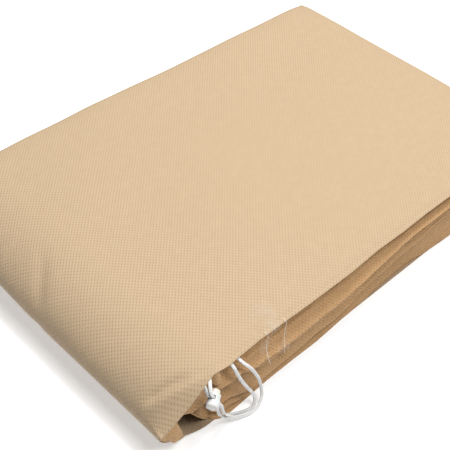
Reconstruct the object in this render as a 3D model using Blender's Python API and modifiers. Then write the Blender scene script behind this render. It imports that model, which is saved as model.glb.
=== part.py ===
"""Folded grill cover of tan nonwoven fabric, with its drawcord and cord lock.

The cover is folded flat. One long panel is wrapped round the pack: it lies under everything, turns up
round the -X end in a soft roll and becomes the top leaf. The plies of the other panels lie inside it.
The open, layered side is at -Y. A white drawcord comes out of its hem there, lies in a loop, passes
through a small spring cord lock and is tucked under the top leaf. A clear film tab holds that leaf shut.

Frame: metres, origin at the bottom centre of the folded fabric, +X along the long side away from the
roll, +Y away from the layered side, +Z up.
"""

import math

import bmesh
import bpy
from mathutils import Matrix, Vector

MM = 0.001

# Driving dimensions of the folded pack
LENGTH = 344 * MM
WIDTH = 222 * MM
HEIGHT = 46 * MM
PLY = 1.2 * MM            # thickness of an outer leaf, turned edge included
GAP = 0.3 * MM            # air between touching pieces
ROLL_REACH = 42 * MM      # how far the roll's curve runs along X
ROLL_STEPS = 9            # flats along each half of the roll
FRONT_BULGE = 3 * MM      # how far the inner folds stand out past the top leaf's edge
HINGE_SLIT = 0.8 * MM     # fabric left out on each side of the fold line

X_ROLL = -LENGTH / 2
X_END = LENGTH / 2
Y_FRONT = -WIDTH / 2
Y_LEAF = Y_FRONT + FRONT_BULGE
Y_BACK = WIDTH / 2
Z_FOLD = HEIGHT / 2

# Second leaf: flat under the top one, its front hanging down and flaring out at the foot
SECOND_START = X_ROLL + 46 * MM
SECOND_Z = 39.7 * MM
SECOND_FOOT = 24.6 * MM
SECOND_BEND = 1.5 * MM
SECOND_FLARE = 4.4 * MM
SECOND_STEPS = 6

# Drawcord hem, in two stretches that meet with a gap at the near corner
HEM_LOW = 40.6 * MM
HEM_HIGH = 44.5 * MM
HEM_WALL = 0.5 * MM
HEM_WIDTH = 20 * MM
HEM_ROUND = 1.2 * MM
CORD_Z = (HEM_LOW + HEM_HIGH) / 2

# Drawcord and cord lock
CORD_D = 2.0 * MM
CORD_STEP = 2.6 * CORD_D  # distance between the free cord's points
LOCK_R = 3.4 * MM
LOCK_LEN = 8.0 * MM
LOCK_FLOOR = 0.8 * MM
BORE_R = 2.9 * MM
BUTTON_R = 2.6 * MM
BUTTON_FOOT = 3.2 * MM    # the button's lower end above the barrel's foot
BUTTON_TOP = 10.6 * MM
BUTTON_TRAVEL = 0.8 * MM
SLOT_W = 4.5 * MM         # two cords side by side
SLOT_H = 2.5 * MM
SLOT_UP = 5.0 * MM        # the cord slot's middle above the barrel's foot
SLOT_RUN = (-8.0, -6.0, -3.0, 0.5, 4.2)    # mm along the straight cords: room for a 2 mm slide
STRAND_SIDE = 1.06 * MM   # half the distance between the two cords in the slot
SPRING_R = 1.9 * MM
SPRING_WIRE = 0.25 * MM
SPRING_TURNS = 2.5

# Clear film tab
FILM = 0.2 * MM
FILM_X = (X_ROLL + 69 * MM, X_ROLL + 91 * MM)
FILM_BACK = Y_LEAF + 18 * MM
FILM_BEND = 0.6 * MM


def at(x, y, z):
    """A point given in mm from the roll's outer side, the top leaf's edge and the floor."""
    return Vector((X_ROLL + x * MM, Y_LEAF + y * MM, z * MM))


# The lock leans on the leaves: its axis, the way the cords run through it, and its slot's middle.
LOCK_AXIS = Vector((0.81, 0.56, 0.18)).normalized()
LOCK_CORDS = Vector((-0.38, 0.26, 0.88))
LOCK_CORDS = (LOCK_CORDS - LOCK_AXIS * LOCK_CORDS.dot(LOCK_AXIS)).normalized()
LOCK_SIDE = LOCK_AXIS.cross(LOCK_CORDS)
LOCK_SLOT = at(31.4, -5.9, 34.1)
LOCK_FOOT = LOCK_SLOT - LOCK_AXIS * SLOT_UP

# The free cord's route in mm, as at() takes it: from the front hem to the lock, its tucked end, and
# from the lock back to the side hem.
FROM_FRONT_HEM = (
    (61.2, 5.0, 42.55), (58.4, 4.9, 42.7), (56.0, 3.9, 42.9), (54.6, 1.6, 43.0), (54.5, -1.0, 42.5),
    (55.8, -3.3, 40.3), (58.4, -4.7, 36.6), (61.2, -5.2, 31.6), (63.9, -5.4, 26.2), (66.6, -5.6, 20.2),
    (68.6, -6.0, 13.8), (69.2, -7.0, 8.6), (68.2, -8.6, 4.8), (65.6, -10.0, 2.4), (62.2, -10.8, 1.3),
    (58.6, -10.9, 1.2), (55.0, -10.3, 1.2), (51.6, -9.2, 1.3), (48.2, -7.9, 2.2), (44.8, -6.8, 4.5),
    (41.4, -6.2, 8.2), (38.4, -6.1, 12.6), (36.2, -6.3, 17.0), (34.8, -6.7, 21.6),
)
TUCKED_END = (
    (29.2, -2.2, 40.1), (30.0, 0.6, 41.8), (29.7, 3.8, 42.1), (28.5, 7.0, 41.9), (27.9, 10.0, 41.8),
    (28.4, 13.4, 41.8), (30.4, 15.7, 41.8), (33.2, 15.9, 41.9), (35.4, 14.0, 42.1), (36.2, 11.0, 42.4),
    (36.3, 8.0, 42.7), (35.9, 4.8, 43.0), (34.8, 1.8, 43.1), (33.0, -0.7, 43.1), (31.3, -2.8, 42.2),
    (30.3, -4.6, 40.4),
)
TO_SIDE_HEM = (
    (35.8, -9.0, 23.2), (37.8, -8.4, 17.9), (40.8, -7.3, 12.9), (44.4, -6.2, 8.5), (48.2, -5.8, 4.5),
    (52.0, -6.5, 2.1), (55.8, -7.6, 1.2), (59.6, -8.6, 1.3), (62.6, -8.6, 2.7), (63.8, -7.4, 5.8),
    (62.8, -6.3, 10.2), (59.8, -5.7, 16.0), (56.2, -5.4, 23.0), (52.8, -5.1, 30.2), (50.3, -4.5, 36.4),
    (49.1, -2.8, 41.0), (48.9, -0.2, 43.0), (48.6, 2.6, 43.0), (48.0, 5.2, 42.8), (47.5, 7.6, 42.55),
)


def reset():
    for obj in list(bpy.data.objects):
        bpy.data.objects.remove(obj, do_unlink=True)
    for old in list(bpy.data.collections):
        bpy.data.collections.remove(old)
    made = []
    for name in ("grill_cover", "cutters"):
        made.append(bpy.data.collections.new(name))
        bpy.context.scene.collection.children.link(made[-1])
    return made


PARTS, CUTTERS = reset()


def material(name, colour, roughness, metallic=0.0, transmission=0.0):
    mat = bpy.data.materials.new(name)
    mat.use_nodes = True
    bsdf = mat.node_tree.nodes["Principled BSDF"]
    bsdf.inputs["Base Color"].default_value = (*colour, 1.0)
    bsdf.inputs["Roughness"].default_value = roughness
    bsdf.inputs["Metallic"].default_value = metallic
    bsdf.inputs["Transmission Weight"].default_value = transmission
    return mat


FABRIC = material("tan_nonwoven", (0.72, 0.55, 0.37), 0.85)
CORD = material("white_braid", (0.93, 0.93, 0.92), 0.75)
PLASTIC = material("natural_plastic", (0.90, 0.89, 0.85), 0.4, transmission=0.3)
STEEL = material("spring_steel", (0.6, 0.6, 0.6), 0.3, metallic=1.0)
CLEAR = material("clear_film", (0.95, 0.96, 0.97), 0.15, transmission=0.9)


def add(name, data, mat, collection=None):
    obj = bpy.data.objects.new(name, data)
    (collection or PARTS).objects.link(obj)
    obj.data.materials.append(mat)
    return obj


def from_bmesh(name, bm, mat, collection=None):
    mesh = bpy.data.meshes.new(name)
    bm.to_mesh(mesh)
    bm.free()
    return add(name, mesh, mat, collection)


def sheet(name, profile, span, axis, thickness, mat, closed=False):
    """A sheet whose section follows profile and that runs straight over span along X or Y.

    A closed profile repeats its first point last and makes a flat tube.
    """
    bm = bmesh.new()
    bmesh.ops.create_grid(bm, x_segments=len(profile) - 1, y_segments=1, size=1.0)
    for vert in bm.verts:
        step = round((vert.co.x + 1.0) / 2.0 * (len(profile) - 1))
        along = span[0] if vert.co.y < 0 else span[1]
        across, up = profile[step]
        vert.co = (across, along, up) if axis == "Y" else (along, across, up)
    if closed:
        bmesh.ops.remove_doubles(bm, verts=bm.verts, dist=1e-6)
    obj = from_bmesh(name, bm, mat)
    solid = obj.modifiers.new("thickness", "SOLIDIFY")
    solid.thickness = thickness
    solid.offset = 0.0
    solid.use_even_offset = True
    return obj


def ply_pack(name, low, high):
    """A group of plies pressed flat: a slab whose folded edges are round."""
    bm = bmesh.new()
    bmesh.ops.create_cube(bm, size=1.0)
    size = high - low
    bmesh.ops.scale(bm, vec=size, verts=bm.verts)
    obj = from_bmesh(name, bm, FABRIC)
    obj.location = (high + low) / 2
    fold = obj.modifiers.new("folded_edges", "BEVEL")
    fold.width = 0.42 * size.z
    fold.segments = 3
    fold.limit_method = "NONE"
    return obj


def roll_point(angle, inset):
    """A point of the roll's curve: angle 0 is under the pack, 90 the fold line, 180 on top."""
    a = math.radians(angle)
    x = X_ROLL + ROLL_REACH - (ROLL_REACH - inset) * math.sin(a)
    z = Z_FOLD - (Z_FOLD - inset) * math.cos(a)
    return x, z


def roll_x(z, inset):
    """X of the roll at height z, this far in from its outer side."""
    rise = min(1.0, abs(z - Z_FOLD) / (Z_FOLD - inset))
    return X_ROLL + ROLL_REACH - (ROLL_REACH - inset) * math.sqrt(1.0 - rise * rise)


def outer_wrap():
    """The panel round the outside, in two nodes that meet at the fold line on the roll."""
    half = PLY / 2
    slit = math.degrees(math.asin(HINGE_SLIT / Z_FOLD))
    sweep = (90 - slit) / ROLL_STEPS
    lower = [roll_point(sweep * i, half) for i in range(ROLL_STEPS + 1)]
    upper = [roll_point(90 + slit + sweep * i, half) for i in range(ROLL_STEPS + 1)]
    bottom = [(X_END - 3 * MM, half)] + lower
    top = upper + [(X_END, HEIGHT - half)]
    sheet("wrap_bottom_leaf", bottom, (Y_LEAF, Y_BACK - 2 * MM), "Y", PLY, FABRIC)
    sheet("top_leaf", top, (Y_LEAF, Y_BACK - 1 * MM), "Y", PLY, FABRIC)


# Ply groups from the bottom up: name, lower and upper height, then how far the folds stay back from
# the layered side, from the back and from the +X end (mm).
PLY_GROUPS = (
    ("hem_skirt_plies", 1.5, 6.2, 2.5, 1.5, 2.0),
    ("front_panel_plies", 6.5, 11.0, 3.5, 0.0, 5.0),
    ("left_panel_plies", 11.3, 15.2, 3.0, 2.0, 3.0),
    ("back_panel_plies", 15.5, 19.8, 4.0, 0.5, 6.0),
    ("third_leaf_plies", 20.1, 23.4, 2.5, 2.5, 1.5),
    ("right_panel_plies", 23.7, 29.4, 8.0, 1.0, 4.0),
    ("crown_panel_plies", 29.7, 34.4, 9.0, 0.0, 2.5),
    ("inner_fold_plies", 34.7, 38.8, 12.0, 1.5, 5.0),
)


def ply_groups():
    inner = PLY + 2 * GAP
    for name, z0, z1, front, back, end in PLY_GROUPS:
        start = max(roll_x(z0 * MM, inner), roll_x(z1 * MM, inner)) + GAP
        low = Vector((start, Y_FRONT + front * MM, z0 * MM))
        high = Vector((X_END - end * MM, Y_BACK - back * MM, z1 * MM))
        ply_pack(name, low, high)
    low = Vector((SECOND_START + 18 * MM, Y_LEAF + 25 * MM, HEM_LOW))
    high = Vector((X_END - 4 * MM, Y_BACK - 1 * MM, HEM_HIGH))
    ply_pack("upper_fold_plies", low, high)


def slope_point(share, out=0.0):
    """A point of the second leaf's hanging front, moved outwards by out: share 1 is its lower edge."""
    y = Y_FRONT + PLY / 2 + SECOND_FLARE * (1 - share * share) - out
    z = SECOND_Z - SECOND_BEND + (SECOND_FOOT - SECOND_Z + SECOND_BEND) * share
    return y, z


def second_leaf():
    slope = [slope_point(i / SECOND_STEPS) for i in range(SECOND_STEPS + 1)]
    profile = [(Y_BACK - 4 * MM, SECOND_Z), (slope[0][0] + SECOND_BEND, SECOND_Z)] + slope
    sheet("second_leaf", profile, (SECOND_START, X_END - 3 * MM), "X", PLY, FABRIC)


def corner_fold():
    """The crumpled corner of an inner leaf that stands in the roll's open end."""
    outline = (at(5, 0, 17.5), at(17, 0, 4.0), at(29, 0, 6.5), at(23, 0, 19.5))
    curve = bpy.data.curves.new("corner_fold", "CURVE")
    curve.dimensions = "2D"
    curve.fill_mode = "BOTH"
    curve.extrude = 0.5 * MM
    spline = curve.splines.new("POLY")
    spline.points.add(len(outline) - 1)
    spline.use_cyclic_u = True
    for point, place in zip(spline.points, outline):
        point.co = (place.x, place.z, 0.0, 1.0)
    obj = add("corner_fold", curve, FABRIC)
    obj.rotation_euler = (math.radians(90), 0, 0)
    obj.location.y = Y_LEAF - 2.4 * MM


def hem_tube(name, span, low, axis):
    """A flattened tube of doubled fabric, open at both ends."""
    half = HEM_WALL / 2
    left, right = low + half, low + HEM_WIDTH - half
    foot, top = HEM_LOW + half, HEM_HIGH - half
    r = HEM_ROUND
    ring = [(left + r, foot), (right - r, foot), (right, foot + r), (right, top - r),
            (right - r, top), (left + r, top), (left, top - r), (left, foot + r), (left + r, foot)]
    return sheet(name, ring, span, axis, HEM_WALL, FABRIC, closed=True)


def tube(name, points, mat, wire=CORD_D, sides=2):
    curve = bpy.data.curves.new(name, "CURVE")
    curve.dimensions = "3D"
    curve.bevel_depth = wire / 2
    curve.bevel_resolution = sides
    curve.use_fill_caps = True
    spline = curve.splines.new("POLY")
    spline.points.add(len(points) - 1)
    for point, place in zip(spline.points, points):
        point.co = (*place, 1.0)
    return add(name, curve, mat)


def hems():
    """Both stretches of hem with their cord inside."""
    side_x = X_ROLL + 37.5 * MM
    side_y = (Y_LEAF + 8 * MM, Y_BACK - 8 * MM)
    hem_tube("side_hem", side_y, side_x, "Y")
    front_x = (X_ROLL + 61.6 * MM, X_END - 8 * MM)
    hem_tube("front_hem", front_x, Y_LEAF + 3 * MM, "X")
    cord_y = Y_LEAF + 5 * MM
    tube("front_hem_cord", [(front_x[0], cord_y, CORD_Z), (front_x[1], cord_y, CORD_Z)], CORD)
    cord_x = X_ROLL + 47.5 * MM
    tube("side_hem_cord", [(cord_x, side_y[0], CORD_Z), (cord_x, side_y[1], CORD_Z)], CORD)


def in_slot(along, side):
    """A point of one of the two cords where they run straight through the lock."""
    return LOCK_SLOT + LOCK_CORDS * along * MM + LOCK_SIDE * side * STRAND_SIDE


def smooth(points, step):
    """Points a step apart on the smooth curve through the given ones."""
    ends = [points[0] * 2 - points[1]] + points + [points[-1] * 2 - points[-2]]
    fine = []
    for p0, p1, p2, p3 in zip(ends, ends[1:], ends[2:], ends[3:]):
        for k in range(24):
            t = k / 24
            fine.append(0.5 * (2 * p1 + (p2 - p0) * t + (2 * p0 - 5 * p1 + 4 * p2 - p3) * t * t
                               + (3 * p1 - p0 - 3 * p2 + p3) * t * t * t))
    fine.append(points[-1])
    run = [0.0]
    for a, b in zip(fine, fine[1:]):
        run.append(run[-1] + (b - a).length)
    count = round(run[-1] / step)
    out, k = [], 0
    for i in range(count + 1):
        want = run[-1] * i / count
        while k < len(run) - 2 and run[k + 1] < want:
            k += 1
        out.append(fine[k].lerp(fine[k + 1], (want - run[k]) / (run[k + 1] - run[k])))
    return out


def drawcord():
    """The free cord, one length from hem to hem by way of the lock and its tucked end."""
    towards = [in_slot(along, -1) for along in SLOT_RUN]
    back = [in_slot(along, 1) for along in reversed(SLOT_RUN)]
    route = ([at(*p) for p in FROM_FRONT_HEM] + towards + [at(*p) for p in TUCKED_END] + back
             + [at(*p) for p in TO_SIDE_HEM])
    tube("drawcord", smooth(route, CORD_STEP), CORD)


def lock_frame():
    """Local Z is the lock's axis, local X the way the cords run, and the origin its foot."""
    basis = Matrix((LOCK_CORDS, LOCK_SIDE, LOCK_AXIS)).transposed()
    return Matrix.Translation(LOCK_FOOT) @ basis.to_4x4()


def cylinder(name, radius, low, high, mat, collection=None, sides=28):
    bm = bmesh.new()
    bmesh.ops.create_cone(bm, cap_ends=True, segments=sides, radius1=radius, radius2=radius,
                          depth=high - low)
    bmesh.ops.translate(bm, vec=(0, 0, (high + low) / 2), verts=bm.verts)
    return from_bmesh(name, bm, mat, collection)


def block(name, size, centre, mat):
    bm = bmesh.new()
    bmesh.ops.create_cube(bm, size=1.0)
    bmesh.ops.scale(bm, vec=size, verts=bm.verts)
    bmesh.ops.translate(bm, vec=centre, verts=bm.verts)
    return from_bmesh(name, bm, mat, CUTTERS)


def cut(obj, cutter):
    cutter.hide_render = True
    cutter.display_type = "WIRE"
    difference = obj.modifiers.new("cut_" + cutter.name, "BOOLEAN")
    difference.operation = "DIFFERENCE"
    difference.object = cutter


def cord_lock():
    """Barrel, sprung button and spring; the cords are pinched between the two slots."""
    place = lock_frame()
    body = cylinder("cord_lock_body", LOCK_R, 0.0, LOCK_LEN, PLASTIC)
    bore = cylinder("bore", BORE_R, LOCK_FLOOR, LOCK_LEN + 1 * MM, PLASTIC, CUTTERS)
    slot = block("body_slot", (4 * LOCK_R, SLOT_W, SLOT_H), (0, 0, SLOT_UP), PLASTIC)
    button = cylinder("cord_lock_button", BUTTON_R, BUTTON_FOOT, BUTTON_TOP, PLASTIC)
    window = SLOT_H + BUTTON_TRAVEL
    middle = SLOT_UP + BUTTON_TRAVEL / 2
    button_slot = block("button_slot", (4 * LOCK_R, SLOT_W, window), (0, 0, middle), PLASTIC)
    cut(body, bore)
    cut(body, slot)
    cut(button, button_slot)
    low = LOCK_FLOOR + GAP + SPRING_WIRE / 2
    high = BUTTON_FOOT - GAP - SPRING_WIRE / 2
    coil = []
    steps = round(SPRING_TURNS * 12)
    for i in range(steps + 1):
        a = math.radians(30 * i)
        z = low + (high - low) * i / steps
        coil.append((SPRING_R * math.cos(a), SPRING_R * math.sin(a), z))
    spring = tube("cord_lock_spring", coil, STEEL, wire=SPRING_WIRE, sides=1)
    for obj in (body, bore, slot, button, button_slot, spring):
        obj.matrix_world = place


def closure_tab():
    """Clear film stuck on the top leaf, bent over its edge and hanging in front of the second leaf."""
    off = PLY / 2 + GAP + FILM / 2
    over = HEIGHT + GAP + FILM / 2
    profile = [(FILM_BACK, over), (Y_LEAF, over), (Y_LEAF - FILM_BEND, HEIGHT - FILM_BEND)]
    profile += [slope_point(share, off) for share in (0.55, 0.7, 0.85, 1.0)]
    sheet("closure_tab", profile, FILM_X, "X", FILM, CLEAR)


outer_wrap()
ply_groups()
second_leaf()
corner_fold()
hems()
drawcord()
cord_lock()
closure_tab()
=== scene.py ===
"""Looks of the folded grill cover: nonwoven fabric folded in leaves, a drawcord with its lock, a film tab.

All lists of places are in mm as at() takes them: x from the roll's outer side, y from the top leaf's edge
(the layered side is towards -y) and z from the floor.
"""

import math

import bmesh
import bpy
import numpy as np
from mathutils import Matrix, Vector

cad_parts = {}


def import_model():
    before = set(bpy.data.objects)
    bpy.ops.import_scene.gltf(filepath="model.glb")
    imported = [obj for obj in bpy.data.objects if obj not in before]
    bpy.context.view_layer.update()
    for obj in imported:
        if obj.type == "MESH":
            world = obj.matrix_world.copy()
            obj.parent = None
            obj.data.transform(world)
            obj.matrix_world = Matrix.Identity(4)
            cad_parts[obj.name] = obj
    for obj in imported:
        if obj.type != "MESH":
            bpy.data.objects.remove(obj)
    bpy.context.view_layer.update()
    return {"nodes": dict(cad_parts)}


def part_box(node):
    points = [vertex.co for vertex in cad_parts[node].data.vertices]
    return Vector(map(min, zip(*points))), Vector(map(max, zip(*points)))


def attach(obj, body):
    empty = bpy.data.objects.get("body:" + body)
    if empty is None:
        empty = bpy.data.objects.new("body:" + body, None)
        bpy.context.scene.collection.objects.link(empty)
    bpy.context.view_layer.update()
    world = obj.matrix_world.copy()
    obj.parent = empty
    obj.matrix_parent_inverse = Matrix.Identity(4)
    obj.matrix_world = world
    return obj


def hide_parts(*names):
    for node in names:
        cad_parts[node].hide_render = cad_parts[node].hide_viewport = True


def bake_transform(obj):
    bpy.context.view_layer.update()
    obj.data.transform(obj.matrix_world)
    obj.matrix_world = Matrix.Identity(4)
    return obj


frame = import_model()

MM = 0.001

# Places come from the frame: the roll's outer side, the top leaf's edge, the fold line and the box.
TOP_LOW, TOP_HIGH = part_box("top_leaf")
WRAP_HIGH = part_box("wrap_bottom_leaf")[1]
TAB_LOW, TAB_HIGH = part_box("closure_tab")
FRONT_HEM_LOW, FRONT_HEM_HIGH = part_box("front_hem")
SIDE_HEM_LOW, SIDE_HEM_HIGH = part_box("side_hem")
X_ROLL, Y_LEAF = TOP_LOW.x, TOP_LOW.y
HEIGHT = TOP_HIGH.z / MM
FOLD = (TOP_LOW.z + WRAP_HIGH.z) / 2 / MM     # the fold line's height
REACH = 42.0                                  # how far the roll's curve runs along x
X_FAR = (TOP_HIGH.x - X_ROLL) / MM
Y_FAR = (TOP_HIGH.y - Y_LEAF) / MM
FABRIC = 0.5                                  # one ply
DOUBLE = 0.9                                  # a turned or doubled edge
PACKED = 0.75                                 # a ply in the pack, thick because there are few of them
CORNER_CLOTH = 0.7
HEM_CLOTH = 0.45
FILM_THICK = 0.1


def at(x, y, z):
    """A place in the frame, in metres, from one in mm."""
    return Vector((X_ROLL + x * MM, Y_LEAF + y * MM, z * MM))


def world(points):
    """Many points at once, from mm to the frame."""
    return np.asarray(points) * MM + np.array((X_ROLL, Y_LEAF, 0.0))


# ---------------------------------------- camera

CAMERA_PLACE = at(-168.5, -184.5, 422.0)
CAMERA_LOOK = Vector((0.5297, 0.4804, -0.6990))
CAMERA_ROLL = math.radians(5.0)
CAMERA_LENS = 71.94


def link(obj):
    bpy.context.scene.collection.objects.link(obj)
    return obj


def camera():
    data = bpy.data.cameras.new("camera")
    data.lens = CAMERA_LENS
    data.sensor_width = 36.0
    data.clip_start = 0.01
    obj = link(bpy.data.objects.new("camera", data))
    look = CAMERA_LOOK.normalized()
    level = look.cross(Vector((0, 0, 1))).normalized()
    rise = level.cross(look)
    right = level * math.cos(CAMERA_ROLL) + rise * math.sin(CAMERA_ROLL)
    up = rise * math.cos(CAMERA_ROLL) - level * math.sin(CAMERA_ROLL)
    basis = Matrix((right, up, -look)).transposed().to_4x4()
    obj.matrix_world = Matrix.Translation(CAMERA_PLACE) @ basis
    bpy.context.scene.camera = obj


camera()


# ---------------------------------------- node helpers

def new_material(name):
    mat = bpy.data.materials.new(name)
    mat.use_nodes = True
    return mat, mat.node_tree, mat.node_tree.nodes["Principled BSDF"]


def set_values(bsdf, values):
    """Sets constants on the shader's own sockets."""
    for name, value in values.items():
        bsdf.inputs[name].default_value = value


def feed(tree, socket, value):
    """Links a node's output to socket, or sets the socket to a number or colour."""
    if isinstance(value, tuple):
        socket.default_value = (*value, 1.0)
    elif isinstance(value, (int, float)):
        socket.default_value = value
    else:
        tree.links.new(value, socket)


def math_node(tree, operation, *values, clamp=False):
    node = tree.nodes.new("ShaderNodeMath")
    node.operation = operation
    node.use_clamp = clamp
    for socket, value in zip(node.inputs, values):
        feed(tree, socket, value)
    return node.outputs[0]


def noise_node(tree, vector, scale, detail=3.0, roughness=0.55):
    node = tree.nodes.new("ShaderNodeTexNoise")
    node.inputs["Scale"].default_value = scale
    node.inputs["Detail"].default_value = detail
    node.inputs["Roughness"].default_value = roughness
    tree.links.new(vector, node.inputs["Vector"])
    return node.outputs["Fac"]


def ramp_node(tree, fac, stops):
    node = tree.nodes.new("ShaderNodeValToRGB")
    while len(node.color_ramp.elements) < len(stops):
        node.color_ramp.elements.new(0.5)
    for element, (place, colour) in zip(node.color_ramp.elements, stops):
        element.position = place
        element.color = (*colour, 1.0)
    tree.links.new(fac, node.inputs["Fac"])
    return node.outputs["Color"]


def bump_node(tree, height, strength, distance, under=None):
    node = tree.nodes.new("ShaderNodeBump")
    node.inputs["Strength"].default_value = strength
    node.inputs["Distance"].default_value = distance * MM
    tree.links.new(height, node.inputs["Height"])
    if under is not None:
        tree.links.new(under, node.inputs["Normal"])
    return node.outputs["Normal"]


def mix_colour(tree, fac, a, b):
    node = tree.nodes.new("ShaderNodeMix")
    node.data_type = "RGBA"
    for socket, value in zip((node.inputs["Factor"], node.inputs[6], node.inputs[7]), (fac, a, b)):
        feed(tree, socket, value)
    return node.outputs[2]


def uv_parts(tree):
    """The UV vector, which runs in metres along the cloth, and its two coordinates."""
    uv = tree.nodes.new("ShaderNodeUVMap").outputs["UV"]
    split = tree.nodes.new("ShaderNodeSeparateXYZ")
    tree.links.new(uv, split.inputs[0])
    return uv, split.outputs[0], split.outputs[1]


def lattice(tree, across, along, pitch_sum, pitch_difference, lean=1.0):
    """Points on a lattice turned by 45 degrees: highest in a point, lowest between them.

    The pitches are in mm along the two diagonals, and lean is the weight of the first one's waves.
    """
    waves = []
    for operation, pitch in (("ADD", pitch_sum), ("SUBTRACT", pitch_difference)):
        turn = 2 * math.pi / (pitch * MM) * math.sqrt(0.5)
        line = math_node(tree, "MULTIPLY", math_node(tree, operation, across, along), turn)
        waves.append(math_node(tree, "COSINE", line))
    return math_node(tree, "ADD", math_node(tree, "MULTIPLY", waves[0], lean), waves[1])


# ---------------------------------------- materials

DOT_PITCHES = (2.1, 1.75)     # the embossed points' lattice, along its two diagonals
DOT_LEAN = 0.6
DOT_TONE = 0.36               # how much of the melted colour the points show
YARN_PITCH = 0.85
# The fabric's colours: dark, middle and light cloth, and its melted points; outside, and with painted shade
OUTER = ((0.382, 0.279, 0.173), (0.396, 0.290, 0.181), (0.412, 0.304, 0.191), (0.262, 0.165, 0.085))
# The second set is painted shade: the same fabric made darker and warmer for the leaves, folds and plies
SHADE_TONES = ((0.420, 0.244, 0.110), (0.446, 0.266, 0.123), (0.472, 0.288, 0.137), (0.270, 0.138, 0.052))


def nonwoven(name, colours):
    """Tan spunbond: melted points in a lattice, loose fibres between them, and a cloudy colour."""
    dark, middle, light, melted = colours
    mat, tree, bsdf = new_material(name)
    uv, across, along = uv_parts(tree)
    waves = lattice(tree, across, along, *DOT_PITCHES, lean=DOT_LEAN)
    dots = math_node(tree, "MULTIPLY", math_node(tree, "SUBTRACT", waves, 0.2), 0.7, clamp=True)
    fibre = noise_node(tree, uv, 900.0, 4.0, 0.6)
    cloud = noise_node(tree, uv, 160.0, 4.0, 0.6)
    broad = noise_node(tree, uv, 14.0, 3.0, 0.5)
    cloth = ramp_node(tree, cloud, ((0.25, dark), (0.50, middle), (0.75, light)))
    cloth = mix_colour(tree, math_node(tree, "MULTIPLY", broad, 0.3), cloth, dark)
    cloth = mix_colour(tree, math_node(tree, "MULTIPLY", dots, DOT_TONE), cloth, melted)
    tree.links.new(cloth, bsdf.inputs["Base Color"])
    set_values(bsdf, {"Roughness": 0.72, "Specular IOR Level": 0.3, "Sheen Weight": 0.08,
                      "Sheen Roughness": 0.5})
    pressed = bump_node(tree, math_node(tree, "SUBTRACT", 1.0, dots), 0.7, 0.3)
    tree.links.new(bump_node(tree, fibre, 0.25, 0.15, pressed), bsdf.inputs["Normal"])
    return mat


def white_braid():
    """Soft flat braid: crossing yarns a fraction of a millimetre apart."""
    mat, tree, bsdf = new_material("white_braid_cord")
    uv, across, along = uv_parts(tree)
    weave = lattice(tree, across, along, YARN_PITCH, YARN_PITCH)
    fuzz = noise_node(tree, uv, 1500.0, 3.0)
    colour = ramp_node(tree, fuzz, ((0.3, (0.58, 0.58, 0.57)), (0.7, (0.68, 0.68, 0.67))))
    # Darker between the yarns: painted shade in the gaps of the braid.
    gap = math_node(tree, "MULTIPLY", math_node(tree, "SUBTRACT", -0.9, weave), 0.5, clamp=True)
    tree.links.new(mix_colour(tree, gap, colour, (0.42, 0.41, 0.40)), bsdf.inputs["Base Color"])
    set_values(bsdf, {"Roughness": 0.8, "Sheen Weight": 0.15})
    tree.links.new(bump_node(tree, weave, 0.5, 0.12), bsdf.inputs["Normal"])
    return mat


def natural_plastic(name, colour):
    """Milky moulded plastic with a faint flow mottle and a fine satin grain."""
    mat, tree, bsdf = new_material(name)
    place = tree.nodes.new("ShaderNodeTexCoord").outputs["Object"]
    flow = noise_node(tree, place, 320.0, 2.0)
    darker = tuple(0.93 * c for c in colour)
    tree.links.new(ramp_node(tree, flow, ((0.35, darker), (0.65, colour))), bsdf.inputs["Base Color"])
    set_values(bsdf, {"Roughness": 0.38, "Subsurface Weight": 0.25, "Subsurface Scale": 0.002})
    grain = noise_node(tree, place, 5200.0, 2.0)
    tree.links.new(bump_node(tree, grain, 0.12, 0.04), bsdf.inputs["Normal"])
    return mat


def spring_steel():
    """Drawn wire: bright, with a fine streaky tone."""
    mat, tree, bsdf = new_material("bright_spring_steel")
    place = tree.nodes.new("ShaderNodeTexCoord").outputs["Object"]
    drawn = noise_node(tree, place, 2600.0, 3.0)
    colour = ramp_node(tree, drawn, ((0.3, (0.50, 0.50, 0.51)), (0.7, (0.66, 0.66, 0.67))))
    tree.links.new(colour, bsdf.inputs["Base Color"])
    set_values(bsdf, {"Metallic": 1.0, "Roughness": 0.28})
    return mat


# The creases are drawn as thin white lines: painted highlights of the crease ridges.
# The film's creases: place across it and bow in mm, and radians of the bow's wave for each mm along it
FILM_CREASES = ((6.2, 1.3, 0.16), (19.4, 1.6, 0.11))
FILM_LINE = 0.30              # half a crease's width
FILM_BEND = 15.0              # the creases begin where the film bends over the leaf's edge
FILM_FADE = 6.0               # and are whole this much further on
FILM_HIGHLIGHT = 0.34             # how opaque they are


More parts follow.
